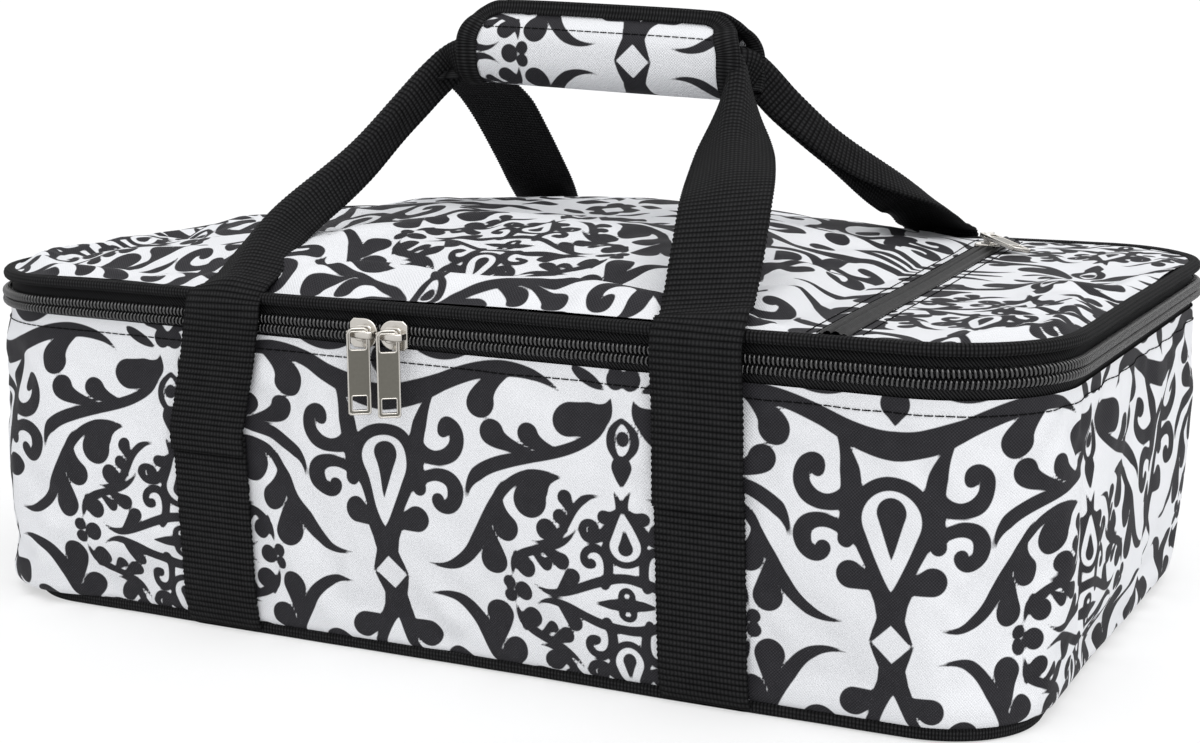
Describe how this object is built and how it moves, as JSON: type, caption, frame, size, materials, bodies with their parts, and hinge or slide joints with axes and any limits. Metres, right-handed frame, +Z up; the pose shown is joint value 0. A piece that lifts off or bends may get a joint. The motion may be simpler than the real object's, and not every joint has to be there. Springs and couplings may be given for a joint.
{
  "type": "casserole carrier",
  "caption": "Insulated zip-top carrier for an oblong baking dish: padded printed box, hinged crowned lid with a zipped pocket, webbing handles joined by a padded grip wrap.",
  "frame": {"origin": "middle of the flat rest face under the base", "axes": "+X along the length to the right seen from the front, +Z up, the front with the zip pulls faces -Y and the lid hinges at +Y"},
  "size_m": [0.4026, 0.2555, 0.215],
  "materials": {
    "print": "white woven cloth printed with a charcoal scroll pattern",
    "webbing": "black ribbed webbing",
    "binding": "black ribbed edge tape",
    "tape": "black woven zip tape",
    "coil": "black moulded coil, slightly shiny",
    "base_cloth": "black coated cloth",
    "foam": "closed-cell foam, hidden",
    "board": "stiff plastic sheet, hidden",
    "lining": "silver wipe-clean lining",
    "pocket_cloth": "thin dark pocket cloth",
    "nickel": "nickel-plated, bright rims",
    "hook_and_loop": "black hook-and-loop strip"
  },
  "bodies": {
    "carrier_body": {"base_cover": "base_cloth", "base_board": "board", "base_foam": "foam", "base_binding": "binding", "wall_cover": "print", "wall_foam": "foam", "lining_tub": "lining", "left_body_strap": "webbing", "right_body_strap": "webbing", "lower_zip_tape": "tape", "lower_zip_coil": "coil", "hinge_tape": "tape"},
    "lid": {"lid_cover": "print", "pocket_panel": "print", "pocket_tape_left": "tape", "pocket_tape_right": "tape", "pocket_coil_left": "coil", "pocket_coil_right": "coil", "pocket_lining": "pocket_cloth", "lid_foam": "foam", "lid_lining": "lining", "lid_binding": "binding", "upper_zip_tape": "tape", "upper_zip_coil": "coil"},
    "front_handle": {"front_handle_webbing": "webbing", "grip_cover": "print", "grip_pad": "foam", "grip_binding": "binding", "hook_strip": "hook_and_loop"},
    "rear_handle": {"rear_handle_webbing": "webbing"},
    "grip_flap": {"grip_flap_cover": "print", "grip_flap_pad": "foam", "grip_flap_binding": "binding", "loop_strip": "hook_and_loop"},
    "left_slider": {"left_slider": "nickel"},
    "left_pull": {"left_pull": "nickel"},
    "right_slider": {"right_slider": "nickel"},
    "right_pull": {"right_pull": "nickel"},
    "pocket_slider": {"pocket_slider": "nickel"},
    "pocket_pull": {"pocket_pull": "nickel"}
  },
  "joints": [
    {"name": "lid_hinge", "type": "hinge", "parent": "carrier_body", "child": "lid", "pos_m": [0, 0.1194, 0.1115], "axis": [-1, 0, 0], "range_deg": [0, 95], "deforming": ["hinge_tape", "front_handle_webbing", "rear_handle_webbing"]},
    {"name": "front_handle_fold", "type": "hinge", "parent": "carrier_body", "child": "front_handle", "pos_m": [0, -0.119, 0.072], "axis": [1, 0, 0], "range_deg": [0, 145]},
    {"name": "rear_handle_fold", "type": "hinge", "parent": "carrier_body", "child": "rear_handle", "pos_m": [0, 0.119, 0.072], "axis": [-1, 0, 0], "range_deg": [0, 145]},
    {"name": "grip_flap_open", "type": "hinge", "parent": "front_handle", "child": "grip_flap", "pos_m": [0, 0, 0.18185], "axis": [-1, 0, 0], "range_deg": [0, 100]},
    {"name": "left_slider_slide", "type": "slide", "parent": "carrier_body", "child": "left_slider", "axis": [-1, 0, 0], "range_m": [0, 0.13]},
    {"name": "left_pull_swing", "type": "hinge", "parent": "left_slider", "child": "left_pull", "pos_m": [-0.02, -0.127, 0.1115], "axis": [-1, 0, 0], "range_deg": [0, 160]},
    {"name": "right_slider_slide", "type": "slide", "parent": "carrier_body", "child": "right_slider", "axis": [1, 0, 0], "range_m": [0, 0.15]},
    {"name": "right_pull_swing", "type": "hinge", "parent": "right_slider", "child": "right_pull", "pos_m": [-0.0065, -0.127, 0.1115], "axis": [-1, 0, 0], "range_deg": [0, 160]},
    {"name": "pocket_slider_slide", "type": "slide", "parent": "lid", "child": "pocket_slider", "axis": [0.0698, -0.9976, 0], "range_m": [0, 0.19]},
    {"name": "pocket_pull_swing", "type": "hinge", "parent": "pocket_slider", "child": "pocket_pull", "pos_m": [0.11958, 0.09178, 0.1255], "axis": [0.0698, -0.9976, 0], "range_deg": [0, 160]}
  ],
  "couplings": [
    {"joint": "front_handle_fold", "follows": "lid_hinge", "ratio": 1.526},
    {"joint": "rear_handle_fold", "follows": "lid_hinge", "ratio": 1.526},
    {"joint": "grip_flap_open", "follows": "lid_hinge", "ratio": 1.052}
  ]
}
